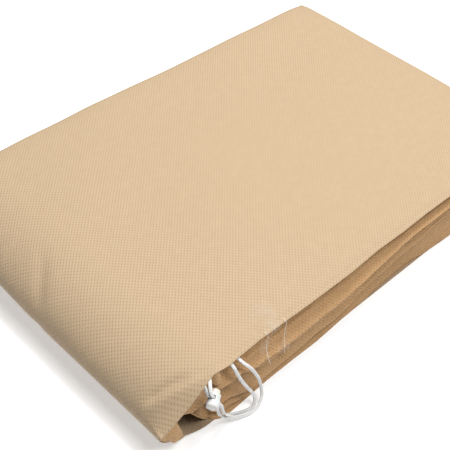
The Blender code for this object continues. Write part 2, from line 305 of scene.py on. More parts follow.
def clear_film():
    """Clear film, all but invisible: a faint haze, and fine white lines of painted highlight on its creases.
    """
    mat, tree, bsdf = new_material("clear_packing_film")
    uv, along_cut, across_cut = uv_parts(tree)
    haze = noise_node(tree, uv, 60.0, 3.0, 0.6)
    alpha = math_node(tree, "MULTIPLY", math_node(tree, "SUBTRACT", haze, 0.46), 0.22, clamp=True)
    past = math_node(tree, "SUBTRACT", along_cut, FILM_BEND * MM)
    shown = math_node(tree, "DIVIDE", past, FILM_FADE * MM, clamp=True)
    # Each crease adds a thin white line to the alpha: a painted highlight of the crease ridge.
    for place, bow, turn in FILM_CREASES:
        bent = math_node(tree, "SINE", math_node(tree, "MULTIPLY", along_cut, turn / MM))
        line = math_node(tree, "ADD", math_node(tree, "MULTIPLY", bent, bow * MM), place * MM)
        away = math_node(tree, "ABSOLUTE", math_node(tree, "SUBTRACT", across_cut, line))
        near = math_node(tree, "SUBTRACT", 1.0, math_node(tree, "DIVIDE", away, FILM_LINE * MM), clamp=True)
        strength = math_node(tree, "MULTIPLY", shown, FILM_HIGHLIGHT)
        alpha = math_node(tree, "ADD", alpha, math_node(tree, "MULTIPLY", near, strength), clamp=True)
    tree.links.new(alpha, bsdf.inputs["Alpha"])
    set_values(bsdf, {"Base Color": (0.80, 0.84, 0.88, 1.0), "Roughness": 0.35,
                      "Specular IOR Level": 0.2})
    return mat


CLOTH = nonwoven("tan_nonwoven_cloth", OUTER)
# The same fabric with painted shade, for the hanging leaves, the corner fold and the plies in the pack
SHADED_CLOTH = nonwoven("tan_nonwoven_painted_shade", SHADE_TONES)
BRAID = white_braid()
BARREL = natural_plastic("natural_barrel_plastic", (0.60, 0.59, 0.57))
BUTTON = natural_plastic("beige_button_plastic", (0.58, 0.54, 0.47))
STEEL = spring_steel()
FILM = clear_film()


# ---------------------------------------- mesh helpers

def mesh_object(name, points, faces, uvs, mat):
    """points in metres (n, 3), faces as index tuples, uvs (n, 2) in metres, given by vertex."""
    mesh = bpy.data.meshes.new(name)
    mesh.from_pydata([tuple(p) for p in points], [], faces)
    layer = mesh.uv_layers.new(name="UVMap")
    loops = np.zeros(len(mesh.loops), dtype=np.int32)
    mesh.loops.foreach_get("vertex_index", loops)
    layer.data.foreach_set("uv", np.asarray(uvs, dtype=np.float32)[loops].ravel())
    mesh.materials.append(mat)
    mesh.shade_smooth()
    mesh.validate()
    return link(bpy.data.objects.new(name, mesh))


def grid_normals(grid):
    """The unit normal at each point of a grid."""
    normal = np.cross(np.gradient(grid, axis=0), np.gradient(grid, axis=1))
    return normal / np.maximum(np.linalg.norm(normal, axis=2, keepdims=True), 1e-12)


def run_of(grid, axis):
    """Distance along one direction of a grid, averaged over the other."""
    steps = np.linalg.norm(np.diff(grid, axis=axis), axis=2).mean(axis=1 - axis)
    return np.concatenate(([0.0], np.cumsum(steps)))


def cloth_uv(grid):
    """Coordinates that run along the cloth in mm, down and across the grid."""
    uv = np.zeros((*grid.shape[:2], 2))
    uv[:, :, 0] = run_of(grid, 0)[:, None]
    uv[:, :, 1] = run_of(grid, 1)[None, :]
    return uv


RIM_BULGE = 0.8               # how far a sheet's rim stands out, in half thicknesses


def shell(grid, thickness):
    """A closed shell round a sheet given as a grid of points in mm: both faces and a round rim."""
    nu, nv = grid.shape[:2]
    uv = cloth_uv(grid)
    normals = grid_normals(grid)
    half = thickness / 2
    index = np.arange(nu * nv).reshape(nu, nv)
    under = index + nu * nv
    a, b, c, d = index[:-1, :-1], index[1:, :-1], index[1:, 1:], index[:-1, 1:]
    faces = np.stack([a, b, c, d], -1).reshape(-1, 4).tolist()
    a, b, c, d = under[:-1, :-1], under[:-1, 1:], under[1:, 1:], under[1:, :-1]
    faces += np.stack([a, b, c, d], -1).reshape(-1, 4).tolist()
    ring = [(i, 0) for i in range(nu)] + [(nu - 1, j) for j in range(1, nv)]
    ring += [(i, nv - 1) for i in range(nu - 2, -1, -1)] + [(0, j) for j in range(nv - 2, 0, -1)]
    start = 2 * nu * nv
    rim = []
    for i, j in ring:
        inner = grid[min(max(i, 1), nu - 2), min(max(j, 1), nv - 2)]
        out = grid[i, j] - inner
        out /= max(np.linalg.norm(out), 1e-12)
        rim.append(grid[i, j] + out * half * RIM_BULGE)
    for k, (i0, j0) in enumerate(ring):
        i1, j1 = ring[(k + 1) % len(ring)]
        m0, m1 = start + k, start + (k + 1) % len(ring)
        faces.append((int(index[i0, j0]), m0, m1, int(index[i1, j1])))
        faces.append((m0, int(under[i0, j0]), int(under[i1, j1]), m1))
    above = (grid + normals * half).reshape(-1, 3)
    below = (grid - normals * half).reshape(-1, 3)
    face_uv = uv.reshape(-1, 2)
    points = np.concatenate((above, below, rim))
    coords = np.concatenate((face_uv, face_uv, [uv[i, j] for i, j in ring]))
    return points, faces, coords


def cloth_piece(name, grid, thickness=FABRIC, mat=CLOTH):
    """One object from a sheet, given as a grid of points in mm."""
    points, faces, coords = shell(grid, thickness)
    return mesh_object(name, world(points), [tuple(face) for face in faces], coords * MM, mat)


def smoothstep(t):
    t = np.clip(t, 0.0, 1.0)
    return t * t * (3 - 2 * t)


def ripples(a, b, size_a, size_b, seed, count=16):
    """Soft noise over two coordinates, about -1 to 1: waves of about these lengths, mixed."""
    rng = np.random.default_rng(seed)
    total = 0.0
    for _ in range(count):
        turn_a, turn_b = rng.normal(0.0, 0.7, 2)
        phase = rng.uniform(0.0, 2 * math.pi)
        total = total + np.sin(2 * math.pi * (turn_a * a / size_a + turn_b * b / size_b) + phase)
    return total / math.sqrt(count) * 0.8


def through(points, t):
    """The smooth curve through points, at places t from 0 to the last point's number."""
    points = np.asarray(points, dtype=float)
    ends = np.vstack((2 * points[0] - points[1], points, 2 * points[-1] - points[-2]))
    i = np.clip(np.floor(t).astype(int), 0, len(points) - 2)
    f = (t - i)[:, None]
    p0, p1, p2, p3 = ends[i], ends[i + 1], ends[i + 2], ends[i + 3]
    return 0.5 * (2 * p1 + (p2 - p0) * f + (2 * p0 - 5 * p1 + 4 * p2 - p3) * f ** 2
                  + (3 * p1 - p0 - 3 * p2 + p3) * f ** 3)


def even(points, step):
    """Points about a step apart on the smooth curve through the given ones."""
    fine = through(points, np.linspace(0, len(points) - 1, 24 * len(points)))
    run = np.concatenate(([0.0], np.cumsum(np.linalg.norm(np.diff(fine, axis=0), axis=1))))
    want = np.linspace(0, run[-1], round(run[-1] / step) + 1)
    return np.stack([np.interp(want, run, fine[:, k]) for k in range(3)], axis=1)


def at_x(points, xs):
    """y and z of the smooth line through points, at each x."""
    fine = through(points, np.linspace(0, len(points) - 1, 30 * len(points)))
    return np.interp(xs, fine[:, 0], fine[:, 1]), np.interp(xs, fine[:, 0], fine[:, 2])


def body_piece(obj, body, slot, *nodes):
    """Hides the CAD nodes obj replaces and attaches obj to the body it rides on, if it has one; slot is not
    used.
    """
    if nodes:
        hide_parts(*nodes)
    if body:
        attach(obj, body)
    return obj


def pack_wave(x, y):
    """How far the top of the pack rises or falls, in mm: all leaves follow it, less further down."""
    return 0.75 * ripples(x, y, 190.0, 150.0, 11) + 0.25 * ripples(x, y, 60.0, 50.0, 12)


# ---------------------------------------- drawcord

CORD_WIDE = 2.0
CORD_THICK = 1.15
CORD_ROUND = 5.2              # once round the braid
RING_STEP = 0.65
SWELL, SWELL_STEP = 0.05, 1.2  # the braid's thickening at each crossing: its share, and how often
SLOT_UP = 5.0                 # the slot's middle above the lock's foot
STRAND_SIDE = 1.06            # each cord's distance from the slot's middle
SLOT_RUN = (-8.0, -6.0, -3.0, 0.5, 4.2)

# The lock leans on the leaves: its axis, the way the cords run through it, and its slot's middle.
LOCK_AXIS = Vector((0.81, 0.56, 0.18)).normalized()
LOCK_CORDS = Vector((-0.38, 0.26, 0.88))
LOCK_CORDS = (LOCK_CORDS - LOCK_AXIS * LOCK_CORDS.dot(LOCK_AXIS)).normalized()
LOCK_SIDE = LOCK_AXIS.cross(LOCK_CORDS)
LOCK_SLOT = Vector((31.4, -5.9, 34.1))

# The cord's route, a list of given points: out of the front hem and over the floor to the lock,
# round the end tucked under the top leaf, and over the floor again to the side hem
FROM_FRONT_HEM = (
    (61.2, 5.0, 42.55), (58.4, 4.9, 42.7), (56.0, 3.9, 42.9), (54.6, 1.6, 43.0), (54.5, -1.0, 42.5),
    (55.8, -3.3, 40.3), (58.4, -4.7, 36.6), (61.2, -5.2, 31.6), (63.9, -5.4, 26.2), (66.6, -5.6, 20.2),
    (68.6, -6.0, 13.8), (69.2, -7.0, 8.6), (68.2, -8.6, 4.8), (65.6, -10.0, 2.4), (62.2, -10.8, 1.3),
    (58.6, -10.9, 1.2), (55.0, -10.3, 1.2), (51.6, -9.2, 1.3), (48.2, -7.9, 2.2), (44.8, -6.8, 4.5),
    (41.4, -6.2, 8.2), (38.4, -6.1, 12.6), (36.2, -6.3, 17.0), (34.8, -6.7, 21.6),
)
TUCKED_END = (
    (29.2, -2.2, 40.1), (30.0, 0.6, 41.8), (29.7, 3.8, 42.1), (28.5, 7.0, 41.9), (27.9, 10.0, 41.8),
    (28.4, 13.4, 41.8), (30.4, 15.7, 41.8), (33.2, 15.9, 41.9), (35.4, 14.0, 42.1), (36.2, 11.0, 42.4),
    (36.3, 8.0, 42.7), (35.9, 4.8, 43.0), (34.8, 1.8, 43.1), (33.0, -0.7, 43.1), (31.3, -2.8, 42.2),
    (30.3, -4.6, 40.4),
)
TO_SIDE_HEM = (
    (35.8, -9.0, 23.2), (37.8, -8.4, 17.9), (40.8, -7.3, 12.9), (44.4, -6.2, 8.5), (48.2, -5.8, 4.5),
    (52.0, -6.5, 2.1), (55.8, -7.6, 1.2), (59.6, -8.6, 1.3), (62.6, -8.6, 2.7), (63.8, -7.4, 5.8),
    (62.8, -6.3, 10.2), (59.8, -5.7, 16.0), (56.2, -5.4, 23.0), (52.8, -5.1, 30.2), (50.3, -4.5, 36.4),
    (49.1, -2.8, 41.0), (48.9, -0.2, 43.0), (48.6, 2.6, 43.0), (48.0, 5.2, 42.8), (47.5, 7.6, 42.55),
)
# Which way the braid's flat face looks, at shares of the route: up in the hem and on the table, outwards
# on the leaves, and along the lock's axis where it passes through the lock.
FLAT_FACE = (
    (0.00, (0, 0, 1)), (0.05, (0, -0.3, 1)), (0.10, (-0.5, -0.8, 0.3)), (0.20, (-0.6, -0.8, 0.1)),
    (0.26, (0, -0.4, 1)), (0.31, (0.2, 0.1, 1)), (0.36, (-0.5, -0.6, 0.6)), (0.42, (-0.81, -0.56, -0.18)),
    (0.48, (-0.81, -0.56, -0.18)), (0.52, (-0.2, -0.2, 1)), (0.60, (0, 0, 1)), (0.64, (-0.3, -0.5, 0.8)),
    (0.67, (-0.81, -0.56, -0.18)), (0.72, (-0.81, -0.56, -0.18)), (0.78, (-0.5, -0.5, 0.6)),
    (0.83, (0, -0.2, 1)), (0.88, (-0.4, -0.9, 0.1)), (0.94, (-0.5, -0.8, 0.2)), (0.98, (0, 0, 1)),
    (1.00, (0, 0, 1)),
)


def in_slot(along, side):
    """A point of one of the two cords where they run straight through the lock."""
    return LOCK_SLOT + LOCK_CORDS * along + LOCK_SIDE * side * STRAND_SIDE


def cord_route():
    """The whole route, with the two straight runs through the lock between its listed stretches."""
    towards = [tuple(in_slot(along, -1)) for along in SLOT_RUN]
    back = [tuple(in_slot(along, 1)) for along in reversed(SLOT_RUN)]
    return [*FROM_FRONT_HEM, *towards, *TUCKED_END, *back, *TO_SIDE_HEM]


def unit(rows):
    return rows / np.maximum(np.linalg.norm(rows, axis=1, keepdims=True), 1e-12)


def braid_mesh(name, centres, faces_to):
    """A flat braid along centres: an oval section that swells a little at each crossing of the yarns."""
    tangent = unit(np.gradient(centres, axis=0))
    thin = faces_to - tangent * (faces_to * tangent).sum(axis=1, keepdims=True)
    for _ in range(12):
        thin = unit(thin)
        thin[1:-1] = (thin[:-2] + thin[1:-1] * 2 + thin[2:]) / 4
        thin -= tangent * (thin * tangent).sum(axis=1, keepdims=True)
    thin = unit(thin)
    wide = np.cross(tangent, thin)
    sides = 16
    angle = np.linspace(0, 2 * math.pi, sides, endpoint=False)
    flat = np.sign(np.cos(angle)) * np.abs(np.cos(angle)) ** 0.8
    deep = np.sign(np.sin(angle)) * np.abs(np.sin(angle)) ** 0.8
    run = np.concatenate(([0.0], np.cumsum(np.linalg.norm(np.diff(centres, axis=0), axis=1))))
    swell = 1 + SWELL * np.sin(2 * math.pi * run / SWELL_STEP)[:, None, None]
    rings = (centres[:, None, :] + swell * (wide[:, None, :] * (flat * CORD_WIDE / 2)[None, :, None]
                                            + thin[:, None, :] * (deep * CORD_THICK / 2)[None, :, None]))
    count = len(centres)
    faces = []
    for i in range(count - 1):
        for j in range(sides):
            k = (j + 1) % sides
            faces.append((i * sides + j, i * sides + k, (i + 1) * sides + k, (i + 1) * sides + j))
    faces.append(tuple(range(sides - 1, -1, -1)))
    faces.append(tuple((count - 1) * sides + j for j in range(sides)))
    around = np.tile(angle / (2 * math.pi) * CORD_ROUND, count)
    uv = np.stack((np.repeat(run, sides), around), axis=1) * MM
    return mesh_object(name, world(rings.reshape(-1, 3)), faces, uv, BRAID)


def drawcord():
    centres = even(cord_route(), RING_STEP)
    share = np.linspace(0, 1, len(centres))
    places = [place for place, _ in FLAT_FACE]
    looks = unit(np.array([look for _, look in FLAT_FACE], dtype=float))
    faces_to = np.stack([np.interp(share, places, looks[:, k]) for k in range(3)], axis=1)
    cord = braid_mesh("drawcord_braid", centres, faces_to)
    body_piece(cord, "root", "white_braid", "drawcord")


drawcord()


# ---------------------------------------- cord lock

LOCK_R = 3.4
BUTTON_TRAVEL = 0.8
SLOT_W, SLOT_H = 4.5, 2.5
SLOT_ROUND = 0.5
TURNED_STEPS = 56
SHARP_ANGLE = math.radians(40)
# Turned profiles as (radius, height) in mm, from the axis outside up and round to the axis again
BARREL_PROFILE = (
    (0.0, 0.0), (2.3, 0.0), (2.9, 0.12), (3.3, 0.5), (3.4, 1.0), (3.4, 1.5), (3.24, 1.75), (3.24, 6.6),
    (3.4, 6.9), (3.4, 7.5), (3.32, 7.8), (3.15, 8.0), (3.05, 7.98), (2.92, 7.8), (2.9, 7.4), (2.9, 1.2),
    (2.6, 0.85), (2.2, 0.8), (0.0, 0.8),
)
BUTTON_PROFILE = (
    (0.0, 3.2), (2.2, 3.2), (2.5, 3.32), (2.6, 3.6), (2.6, 9.4), (2.54, 9.9), (2.35, 10.3), (2.0, 10.52),
    (1.5, 10.6), (0.9, 10.45), (0.0, 10.4),
)


def turned(name, profile, mat):
    """A turned part: the profile swept round local Z."""
    bm = bmesh.new()
    verts = [bm.verts.new((r * MM, 0.0, z * MM)) for r, z in profile]
    edges = [bm.edges.new(pair) for pair in zip(verts, verts[1:])]
    bmesh.ops.spin(bm, geom=verts + edges, cent=(0, 0, 0), axis=(0, 0, 1), angle=2 * math.pi,
                   steps=TURNED_STEPS)
    bmesh.ops.remove_doubles(bm, verts=bm.verts, dist=1e-7)
    bmesh.ops.recalc_face_normals(bm, faces=bm.faces)
    mesh = bpy.data.meshes.new(name)
    bm.to_mesh(mesh)
    bm.free()
    mesh.materials.append(mat)
    return link(bpy.data.objects.new(name, mesh))


def cut_slot(obj, size, up):
    """Cuts the cords' opening right through, with rounded edges, and keeps the cut mesh."""
    bm = bmesh.new()
    bmesh.ops.create_cube(bm, size=1.0)
    bmesh.ops.scale(bm, vec=Vector(size) * MM, verts=bm.verts)
    bmesh.ops.translate(bm, vec=(0, 0, up * MM), verts=bm.verts)
    along = [e for e in bm.edges if abs((e.verts[0].co - e.verts[1].co).normalized().x) > 0.9]
    bmesh.ops.bevel(bm, geom=along, offset=SLOT_ROUND * MM, segments=4, profile=0.5, affect="EDGES")
    mesh = bpy.data.meshes.new("slot_cutter")
    bm.to_mesh(mesh)
    bm.free()
    cutter = link(bpy.data.objects.new("slot_cutter", mesh))
    cut = obj.modifiers.new("slot", "BOOLEAN")
    cut.object = cutter
    cut.operation = "DIFFERENCE"
    cut.solver = "EXACT"
    done = bpy.data.meshes.new_from_object(obj.evaluated_get(bpy.context.evaluated_depsgraph_get()))
    obj.modifiers.clear()
    obj.data = done
    bpy.data.objects.remove(cutter, do_unlink=True)
    done.shade_smooth()
    done.set_sharp_from_angle(angle=SHARP_ANGLE)


def cord_lock():
    foot = LOCK_SLOT - LOCK_AXIS * SLOT_UP
    basis = Matrix((LOCK_CORDS, LOCK_SIDE, LOCK_AXIS)).transposed().to_4x4()
    place = Matrix.Translation(at(*foot)) @ basis
    barrel = turned("cord_lock_barrel", BARREL_PROFILE, BARREL)
    cut_slot(barrel, (4 * LOCK_R, SLOT_W, SLOT_H), SLOT_UP)
    button = turned("cord_lock_plunger", BUTTON_PROFILE, BUTTON)
    cut_slot(button, (4 * LOCK_R, SLOT_W, SLOT_H + BUTTON_TRAVEL), SLOT_UP + BUTTON_TRAVEL / 2)
    for obj in (barrel, button):
        obj.data.transform(place)
    body_piece(barrel, "lock", "natural_plastic", "cord_lock_body")
    body_piece(button, "button", "natural_plastic", "cord_lock_button")


cord_lock()


# ---------------------------------------- the outer wrap

# The open end's edge near the corner, where the fabric is pulled down: x, y and z
ROLL_END = ((0.0, 0.0, 23.0), (2.0, -0.2, 22.6), (8.0, -0.6, 26.3), (16.0, -0.9, 31.8), (24.0, -1.0, 37.9),
            (31.0, -0.9, 43.0), (36.8, 0.2, 45.6), (40.4, -0.7, 45.8), (46.7, -0.9, 45.8), (53.0, -0.4, 45.7))
# How the top leaf's edge wanders from there on: x and y
LEAF_EDGE = ((53.0, -0.4), (72.0, 0.3), (110.0, -0.5), (147.0, -0.7), (171.0, 0.5), (195.0, 0.1),
             (220.0, 0.5), (244.0, 0.2), (300.0, -0.4), (344.0, 0.3))

# The pull makes a crease behind the edge: how far back it lies, where along x it ends and how it bows, and
# the soft hollow and ridge beside it
CREASE_NEAR, CREASE_REACH = 0.5, 14.0
CREASE_END, CREASE_SPAN, CREASE_BOW = 36.0, 34.0, 0.77
PULL_END = 36.8
CREASE_SOFT = 0.006           # rounds the fold of the crease
HOLLOW, HOLLOW_BACK, HOLLOW_HALF = 2.4, 3.0, 3.2
RIDGE, RIDGE_FRONT, RIDGE_HALF = 0.8, 2.4, 2.6
DRAWN_IN = 2.2                # how far the edge is drawn in below the fold line
EDGE_HOLD = 7.0               # how far back the fabric follows its edge
LIP, DROOP = 0.55, 1.5        # the top leaf's edge turns up a little, and the fabric behind it droops
END_DROOP, BACK_DROOP = 1.2, 1.0
# A long soft dent crosses the roll: a place on it, its direction in x and y, and its half width and depths
DENT_PLACE = (1.0, 103.0)
DENT_WAY = (0.66, 0.75)
DENT_HALF = 3.5
DENT_DOWN, DENT_IN = 1.1, 0.9


def wrap_path():
    """The wrap's path in X and Z: under the pack, round the roll and over the top."""
    half = FABRIC / 2
    reach, rise = REACH - half, FOLD - half
    bottom = [(x, half, 0) for x in np.linspace(X_FAR - 3.0, 46.0, 100)]
    turns = np.linspace(0, math.pi, 45)
    roll = [(REACH - reach * math.sin(t), FOLD - rise * math.cos(t), 1) for t in turns]
    top = [(x, HEIGHT - half, 2) for x in np.linspace(REACH + 3.0, X_FAR, 150)]
    return np.array(bottom + roll + top)


def pulled_down(x, y, z, upper):
    """Near the corner the roll's upper half falls to its pulled-down edge in front of a crease."""
    end = np.array(ROLL_END)
    edge_z = np.interp(x, end[:, 0], end[:, 2])
    share = np.clip((CREASE_END - x) / CREASE_SPAN, 0.0, 1.0)
    crease = CREASE_NEAR + CREASE_REACH * share ** CREASE_BOW
    fall = np.where(upper & (x < PULL_END), np.maximum(z - edge_z, 0.0), 0.0)
    front = np.clip(1 - y / crease, 0.0, 1.0)
    rounded = 0.5 * (front + np.sqrt(front ** 2 + CREASE_SOFT) - math.sqrt(CREASE_SOFT))
    z = z - fall * np.minimum(rounded, 1.0)
    near = smoothstep((x - 1.0) / 9.0) * (0.4 + 0.6 * smoothstep((29.0 - x) / 8.0))
    near = np.where(upper, near * smoothstep((40.0 - x) / 6.0), 0.0)
    hollow = np.exp(-((y - crease - HOLLOW_BACK) / HOLLOW_HALF) ** 2)
    ridge = np.exp(-((y - crease + RIDGE_FRONT) / RIDGE_HALF) ** 2)
    z = z - near * HOLLOW * hollow
    return z + near * RIDGE * ridge * smoothstep((30.0 - x) / 12.0)


def wrap_grid():
    path = wrap_path()
    ys = np.concatenate((np.linspace(0, 3, 9), np.linspace(3.6, 24, 28), np.linspace(25.5, Y_FAR - 0.5, 84)))
    x = np.repeat(path[:, 0:1], len(ys), axis=1)
    z = np.repeat(path[:, 1:2], len(ys), axis=1)
    y = np.repeat(ys[None, :], len(path), axis=0)
    upper = z > FOLD
    z = pulled_down(x, y, z, upper)
    # The edge wanders, and the fabric behind it follows for a little way.
    end, leaf = np.array(ROLL_END), np.array(LEAF_EDGE)[1:]
    wander_x = np.concatenate((end[:, 0], leaf[:, 0]))
    wander_y = np.concatenate((end[:, 1], leaf[:, 1]))
    y = y + np.where(upper, np.interp(x, wander_x, wander_y), 0.0) * np.exp(-y / EDGE_HOLD)
    # Below the fold line the edge is drawn in a little, behind the crumpled corner.
    low = DRAWN_IN * smoothstep((FOLD - z) / 8.0) * smoothstep((34.0 - x) / 20.0)
    y = y + low * np.exp(-y / EDGE_HOLD)
    # The top rises and falls softly, with a lip at the leaf's edge, and droops at its free edges.
    top = smoothstep((z - 20.0) / 22.0)
    z = z + top * (pack_wave(x, y) * smoothstep(y / 30.0 + 0.3) - 0.4)
    ahead = np.maximum(y - np.interp(x, wander_x, wander_y), 0.0)
    lip = LIP * np.exp(-(ahead / 0.7) ** 2) - DROOP * np.exp(-((ahead - 0.8) / 4.0) ** 2)
    z = z + top * lip * smoothstep((x - 38.0) / 12.0)
    z = z - top * END_DROOP * smoothstep((x - X_FAR + 22.0) / 22.0) ** 2
    z = z - top * BACK_DROOP * smoothstep((y - Y_FAR + 14.0) / 14.0) ** 2
    # The dent runs over the roll, and the roll's outer side isn't quite straight.
    away_x, away_y = x - DENT_PLACE[0], y - DENT_PLACE[1]
    along = away_x * DENT_WAY[0] + away_y * DENT_WAY[1]
    off = away_x * DENT_WAY[1] - away_y * DENT_WAY[0]
    dent = np.exp(-(off / DENT_HALF) ** 2) * smoothstep((along + 8.0) / 18.0)
    dent = dent * smoothstep((42.0 - along) / 22.0)
    side = np.where(upper | (path[:, 1:2] > 8.0), 1.0, 0.0)
    z = z - upper * DENT_DOWN * dent
    x = x + side * smoothstep((30.0 - x) / 30.0) * (DENT_IN * dent + 0.5 * ripples(y, z, 70.0, 30.0, 21))
    lower = smoothstep((FOLD - z) / 10.0) * smoothstep((30.0 - x) / 16.0)
    z = np.maximum(z + lower * 0.35 * ripples(x, y, 26.0, 40.0, 22), FABRIC / 2)
    return np.stack((x, y, z), axis=-1)


def outer_wrap():
    """The top leaf and the leaf under the pack, one sheet that runs round the fold line."""
    grid = wrap_grid()
    piece = cloth_piece("outer_wrap_cloth", grid)
    body_piece(piece, None, "tan_nonwoven", "wrap_bottom_leaf", "top_leaf")
    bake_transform(piece)


outer_wrap()


# ---------------------------------------- leaves on the layered side

# Each hanging leaf: its lower edge and the line where it bends down, both from the corner to the far end
SECOND_EDGE = (
    (36.8, 3.0, 31.8), (38.2, 0.4, 31.0), (41.0, -1.2, 30.2), (46.0, -1.8, 29.6), (50.4, -2.0, 29.1),
    (54.8, -2.2, 31.0), (64.4, -3.0, 27.4), (70.5, -3.5, 27.8), (89.6, -4.0, 27.3), (113.0, -4.0, 27.7),
    (139.8, -4.0, 28.9), (169.0, -3.0, 31.0), (200.5, -2.0, 35.0), (226.6, -2.0, 35.9), (245.0, -2.0, 36.2),
    (290.0, -1.6, 36.4), (341.0, -1.0, 36.8),
)
SECOND_TOP = ((36.8, 8.0, 39.5), (41.0, 6.4, 39.5), (52.0, 6.0, 39.6), (140.0, 6.4, 39.6), (341.0, 6.0, 39.8))
UNDER_EDGE = ((64.0, -1.0, 27.6), (72.0, -3.0, 24.6), (92.0, -3.3, 24.6), (109.0, -3.4, 25.0),
              (116.5, -2.2, 27.4))
UNDER_TOP = ((64.0, 2.4, 33.0), (92.0, 2.4, 33.0), (116.5, 2.4, 33.0))
THIRD_EDGE = (
    (36.6, 4.0, 15.0), (38.6, 1.0, 14.4), (42.3, -0.8, 14.4), (49.9, -1.0, 13.5), (55.0, -1.0, 10.8),
    (61.6, -1.0, 6.5), (69.0, -1.2, 3.6), (77.8, -1.2, 5.4), (90.0, -1.0, 5.6), (107.0, -0.6, 6.2),
    (120.0, -0.8, 8.6), (137.5, -0.5, 7.4), (150.5, -0.5, 9.8), (168.0, -0.5, 16.2), (185.5, -0.5, 18.8),
    (194.0, -0.5, 20.4), (207.0, -0.5, 21.4), (219.0, -0.5, 22.2), (228.0, -0.5, 24.8), (239.0, -0.5, 27.0),
    (250.5, -0.5, 27.8), (295.0, -0.5, 28.2), (341.0, -0.4, 28.6),
)
THIRD_TOP = ((36.6, 9.0, 25.0), (42.0, 7.0, 25.0), (60.0, 6.6, 26.0), (90.0, 6.4, 28.5), (140.0, 6.8, 30.0),
             (169.0, 7.4, 32.4), (200.0, 8.4, 35.4), (245.0, 8.8, 36.0), (341.0, 8.8, 36.4))
FLAP_EDGE = ((204.0, 1.6, 27.6), (211.0, -0.2, 28.6), (219.8, -1.0, 30.5), (231.5, -1.0, 32.0),
             (248.6, -1.0, 31.0), (300.0, -1.0, 31.6), (341.0, -1.0, 32.0))
FLAP_TOP = ((204.0, 6.4, 35.0), (248.0, 6.8, 35.8), (341.0, 6.8, 36.2))
SKIRT_EDGE = (
    (37.0, 5.0, 0.6), (39.5, 1.0, 0.6), (43.0, -1.4, 0.6), (48.3, -2.2, 0.6), (60.0, -1.9, 0.6),
    (79.0, -1.1, 0.6), (107.0, -1.0, 0.6), (121.5, -1.2, 0.6), (144.0, -0.4, 0.6), (168.0, 0.3, 0.6),
    (194.0, 1.8, 0.6), (218.0, 1.7, 0.6), (234.0, 0.2, 0.6), (260.0, -1.1, 0.6), (300.0, -0.8, 0.6),
    (341.0, -0.6, 0.6),
)
SKIRT_TOP = ((37.0, 9.0, 13.0), (43.0, 7.0, 14.0), (60.0, 6.4, 12.0), (70.0, 5.6, 9.6), (107.0, 5.8, 11.4),
             (140.0, 6.2, 13.0), (168.0, 7.0, 20.6), (200.0, 8.0, 25.0), (240.0, 8.4, 30.4),
             (341.0, 8.4, 31.8))
LIFT_EDGE = ((38.6, 1.6, 7.6), (43.0, -1.2, 6.6), (46.2, -1.5, 6.4), (52.0, -1.5, 6.2), (58.0, -1.5, 3.6),
             (64.0, -1.6, 2.0))
LIFT_TOP = ((38.6, 7.0, 14.0), (46.0, 4.6, 14.0), (64.0, 3.6, 11.0))
PLEAT_EDGE = ((35.8, 2.6, 37.6), (37.0, 0.2, 36.0), (39.2, -1.1, 35.1), (41.2, -0.9, 35.4), (42.6, 1.4, 36.6))
PLEAT_TOP = ((35.8, 3.4, 43.6), (39.0, 0.6, 44.4), (42.6, 2.6, 44.0))
LINING_EDGE = ((15.6, 5.6, 21.6), (18.7, 3.0, 23.6), (25.6, 2.6, 19.4), (30.6, 2.6, 19.8), (35.8, 2.8, 19.4),
               (41.0, 5.6, 20.0))
LINING_TOP = ((15.6, 9.0, 27.0), (25.0, 8.0, 33.0), (33.0, 8.0, 37.6), (41.0, 9.0, 38.6))
INNER_EDGE = ((23.6, 6.8, 18.4), (27.6, 3.4, 13.6), (31.2, 3.0, 8.0), (34.8, 3.0, 3.2), (38.4, 3.2, 1.6),
              (42.0, 4.6, 1.4))
INNER_TOP = ((23.6, 10.0, 22.0), (30.0, 9.0, 20.0), (42.0, 9.0, 19.0))


def hanging_leaf(edge, top, back=2.5, flare=1.7, crumple=0.3, seed=1, puckers=()):
    """A leaf that lies in the pack, bends down at its top line and flares out to its lower edge.

    A pucker is a sunk crease given as (x, share of the way down, half its length, half its height, depth).
    """
    count = max(24, int((edge[-1][0] - edge[0][0]) / 1.6) + 12)
    lower = through(edge, np.linspace(0, len(edge) - 1, count))
    top_y, top_z = at_x(top, lower[:, 0])
    shares = np.concatenate((np.linspace(-1.0, -0.14, 5), np.linspace(0.0, 1.0, 21)))[:, None]
    hang = np.clip(shares, 0.0, 1.0)
    bend = np.where(shares < 0, back * -shares, 0.0)
    y = top_y + (lower[:, 1] - top_y) * hang ** flare + bend
    z = top_z + (lower[:, 2] - top_z) * hang + np.where(shares < 0, 0.5, 0.5 * (1 - hang) ** 6)
    x = np.repeat(lower[None, :, 0], len(shares), axis=0)
    drop = hang * np.maximum(top_z - lower[:, 2], 1.0)
    folds = ripples(x, drop, 70.0, 7.0, seed) * 0.7 + ripples(x, drop, 26.0, 14.0, seed + 1) * 0.6
    held = smoothstep(hang / 0.25) * (1 - 0.55 * hang ** 4)
    y = y - crumple * folds * held
    for place, share, long, high, depth in puckers:
        away = ((x - place) / long) ** 2 + ((hang - share) / high) ** 2
        y = y + depth * np.exp(-away) * (hang > 0)
    return np.stack((x, y, z), axis=-1)


